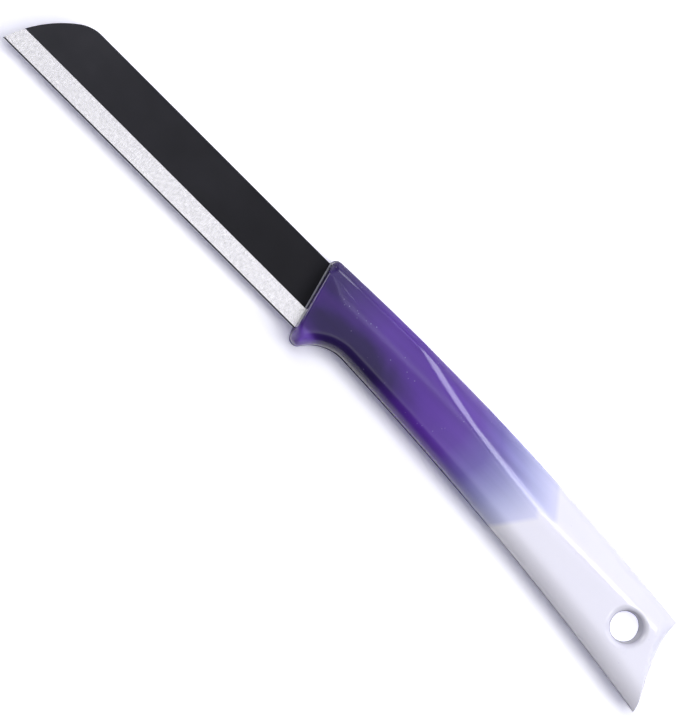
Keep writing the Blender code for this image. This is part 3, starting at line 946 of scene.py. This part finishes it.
def streaks(tree, place, past):
    # painted reflection bands: lighter and darker streaks along the handle
    sizes = plasticSizes
    stretched = addNode(tree, "ShaderNodeMapping", {"Vector": place, "Scale": sizes["streakScale"]})
    streak = addNode(tree, "ShaderNodeTexNoise", {"Vector": stretched, "Scale": 1.0, "Detail": 2.0})
    low, high = sizes["streakEdge"]
    light = addNode(tree, "ShaderNodeMapRange", {
        "Value": streak, "From Min": low, "From Max": high,
        "To Min": 1 + sizes["streaks"], "To Max": 1 - sizes["streaks"]})
    plain = addNode(tree, "ShaderNodeMapRange", {
        "Value": past, "From Min": -sizes["streaksEnd"], "From Max": 0.0})
    return addNode(tree, "ShaderNodeMix", {0: plain, 2: light, 3: 1.0})


def mouldedPlastic():
    # Polypropylene, injection moulded in a polished mould from violet and white stock that run into
    # one another: smooth and glossy, violet at the guard and white at the butt, darker behind the guard.
    material, tree, shader = newMaterial("polypropylene, glossy moulded, violet to white")
    sizes = plasticSizes
    place = heelCoordinates(tree)
    parts = addNode(tree, "ShaderNodeSeparateXYZ", {0: place})
    swirl = addNode(tree, "ShaderNodeTexNoise", {
        "Vector": place, "Scale": sizes["driftScale"], "Detail": 4.0, "Distortion": 1.0})
    drift = addNode(tree, "ShaderNodeMapRange", {
        "Value": swirl, "To Min": -sizes["drift"], "To Max": sizes["drift"]})

    # fade from violet to white, drawn back to both sides of a tip, and the wedge that ends it
    onFacet = aboveRidge(tree, parts)
    along, away = pastTip(tree, parts, onFacet)
    side, facet = sizes["fadeSlant"]
    slant = addNode(tree, "ShaderNodeMix", {0: onFacet, 2: side, 3: facet})
    faded = addNode(tree, "ShaderNodeMath", {0: away, 1: slant, 2: along}, operation="MULTIPLY_ADD")
    past = addNode(tree, "ShaderNodeMath", {
        0: away, 1: sizes["endSlant"], 2: along}, operation="MULTIPLY_ADD")
    low, high = sizes["endWidth"]
    white = addNode(tree, "ShaderNodeMapRange", {"Value": past, "From Min": low, "From Max": high})

    # the darker patch behind the guard, and the painted highlight of lighter violet at its tip
    reach = distanceFrom(tree, place, sizes["cloudMiddle"], sizes["cloudReach"])
    ragged = addNode(tree, "ShaderNodeMath", {
        0: drift, 1: sizes["ragged"], 2: reach}, operation="MULTIPLY_ADD")
    cloud = softPatch(tree, ragged, sizes["cloudEdge"])
    reach = distanceFrom(tree, place, sizes["noseHighlightMiddle"], sizes["noseHighlightReach"])
    nose = softPatch(tree, reach, sizes["noseHighlightEdge"])
    layers = ((white, "white"), (paintedFrontShade(tree, parts), "front"), (cloud, "cloud"), (nose, "nose"))
    tint = colourBy(tree, faded, sizes["fade"])
    for share, name in layers:
        tint = addNode(tree, "ShaderNodeMix", {
            0: share, 6: tint, 7: linearColour(sizes[name + "Colour"])}, data_type="RGBA").outputs[2]
    tint = addNode(tree, "ShaderNodeVectorMath", {
        0: tint, "Scale": streaks(tree, place, past)}, operation="SCALE")
    tint = addNode(tree, "ShaderNodeMix", {
        0: specks(tree, place, swirl), 6: tint, 7: linearColour(sizes["speckColour"])}, data_type="RGBA")
    tree.links.new(tint.outputs[2], shader.inputs["Base Color"])
    shader.inputs["Roughness"].default_value = sizes["roughness"]
    shader.inputs["IOR"].default_value = sizes["ior"]
    return material


# Studio: white floor, plain sky that is bright at the horizon, soft boxes

studioSizes = dict(
    floorReach=4.0,           # metres
    lampDistance=1.5,
    floorGap=0.1,             # millimetres under the knife
    floorColour="FCFCFD",
    floorRoughness=0.9,
    glowColour="E4E4FF",
    floorGlow=0.25,           # brings the floor to white for the camera, not for the light
    holeGlow=0.9,             # painted light for the camera, stronger where the floor is seen through the hanging hole, lifting the knife's shadow there
    holeGlowRadius=4.5,       # millimetres
    lamps=[                   # way to it, size, watts, tint, gives light, gives highlights
        ((0.0, 0.19, 0.982), (1.2, 0.5), 15.5, "FFFFFF", True, False),      # overhead, main light
        ((0.557, 0.139, 0.819), (0.45, 0.45), 4.0, "FFFFFF", True, True),   # beyond the butt
        ((-0.90, -0.10, 0.45), (0.6, 0.9), 12.0, "FFFFFF", False, True),    # line along the front
        ((0.219, 0.771, 0.598), (0.15, 0.8), 5.5, "F0F0FF", False, True),   # line along the ridge
        ((0.08, 0.50, 0.86), (1.2, 0.9), 2.4, "DCDCF4", False, True),       # sheen on the shoulder
        ((0.08, 0.19, 0.98), (1.2, 0.1), 1.6, "D8D4FF", False, True),       # soft line below it
        ((0.08, -0.17, 0.98), (1.2, 0.42), 2.05, "FFFFFF", False, True),    # sheen on the steel
    ],
    sky=[(0.08, "C0C0D2"), (0.5, "6C6C7A")],     # by height, 1 is straight up
    brightWay=(0.3, 1.0, 0.0),    # it is bright beyond the spine, and a little beyond the butt
    skyReach=(-0.1, 0.4),         # that way, where it starts to brighten and where it is brightest
    skyStrength=(0.25, 2.4),
)


def makeFloor():
    sizes = studioSizes
    builder = bmesh.new()
    bmesh.ops.create_circle(builder, cap_ends=True, segments=64, radius=sizes["floorReach"])
    floor = builtPiece("floor", builder)
    floor.location = (0, 0, cadLow.z - sizes["floorGap"] * mm)
    material, tree, shader = newMaterial("white paper, matt")
    shader.inputs["Base Color"].default_value = linearColour(sizes["floorColour"])
    shader.inputs["Roughness"].default_value = sizes["floorRoughness"]
    ray = addNode(tree, "ShaderNodeLightPath")
    # a painted pool of light on the floor under the hanging hole, for the camera only
    middle = placeInFrame @ Vector((*holeMiddle(), 0))
    place = addNode(tree, "ShaderNodeTexCoord")
    offset = addNode(tree, "ShaderNodeVectorMath", {
        0: place.outputs["Object"], 1: (middle.x, middle.y, 0)}, operation="DISTANCE")
    share = addNode(tree, "ShaderNodeMath", {
        0: offset.outputs["Value"], 1: sizes["holeGlowRadius"] * mm}, operation="LESS_THAN")
    glow = addNode(tree, "ShaderNodeMix", {0: share, 2: sizes["floorGlow"], 3: sizes["holeGlow"]})
    glow = addNode(tree, "ShaderNodeMath", {0: ray.outputs["Is Camera Ray"], 1: glow}, operation="MULTIPLY")
    shader.inputs["Emission Color"].default_value = linearColour(sizes["glowColour"])
    tree.links.new(glow.outputs[0], shader.inputs["Emission Strength"])
    floor.data.materials.append(material)


def makeLamp(way, size, power, tint, light, highlights):
    lamp = bpy.data.lights.new("softBox", "AREA")
    lamp.shape = "RECTANGLE"
    lamp.size, lamp.size_y = size
    lamp.energy = power
    lamp.color = linearColour(tint)[:3]
    holder = bpy.data.objects.new("softBox", lamp)
    bpy.context.scene.collection.objects.link(holder)
    way = Vector(way).normalized()
    holder.location = heelPoint + way * studioSizes["lampDistance"]
    holder.rotation_euler = way.to_track_quat("Z", "Y").to_euler()
    holder.visible_diffuse = light
    holder.visible_glossy = highlights


def makeSky():
    world = bpy.data.worlds.new("studio")
    bpy.context.scene.world = world
    world.use_nodes = True
    tree = world.node_tree
    way = addNode(tree, "ShaderNodeTexCoord")
    height = addNode(tree, "ShaderNodeSeparateXYZ", {0: way.outputs["Generated"]})
    tint = setStops(addNode(tree, "ShaderNodeValToRGB", {"Fac": height.outputs["Z"]}), studioSizes["sky"])
    tree.links.new(tint.outputs["Color"], tree.nodes["Background"].inputs["Color"])
    along = addNode(tree, "ShaderNodeVectorMath", {
        0: way.outputs["Generated"], 1: studioSizes["brightWay"]}, operation="DOT_PRODUCT")
    start, end = studioSizes["skyReach"]
    dim, bright = studioSizes["skyStrength"]
    side = addNode(tree, "ShaderNodeMapRange", {
        "Value": along.outputs["Value"], "From Min": start, "From Max": end,
        "To Min": dim, "To Max": bright})
    tree.links.new(side.outputs[0], tree.nodes["Background"].inputs["Strength"])


cameraSizes = dict(
    aim=(11.09, 2.26),        # middle of the picture, millimetres from the heel
    tilt=(-0.08, -0.058),     # how far the camera leans off upright, towards the point and the edge
    roll=radians(-0.1),
    distance=2600.0,          # millimetres
    pictureHeight=147.24,     # millimetres seen, top to bottom, at the middle of the blade
)


def makeCamera():
    camera = bpy.data.cameras.new("camera")
    camera.lens = camera.sensor_width * cameraSizes["distance"] / cameraSizes["pictureHeight"]
    holder = bpy.data.objects.new("camera", camera)
    bpy.context.scene.collection.objects.link(holder)
    bpy.context.scene.camera = holder
    back = Vector((*cameraSizes["tilt"], 1)).normalized()
    up = Vector((-1, 1, 0)).normalized()      # the blade lies from the picture's top left
    up = (up - back * up.dot(back)).normalized()
    aim = heelPoint + Vector((*cameraSizes["aim"], 0)) * mm
    turn = Matrix((up.cross(back), up, back)).transposed().to_4x4()
    turn = turn @ Matrix.Rotation(cameraSizes["roll"], 4, "Z")
    holder.matrix_world = Matrix.Translation(aim + back * cameraSizes["distance"] * mm) @ turn


makeFloor()
for lampValues in studioSizes["lamps"]:
    makeLamp(*lampValues)
makeSky()
makeCamera()
bpy.context.scene.view_settings.view_transform = "Standard"
print("studio ready")

makeBlade(nonStickCoating(), groundSteel())
makeHandle(mouldedPlastic())
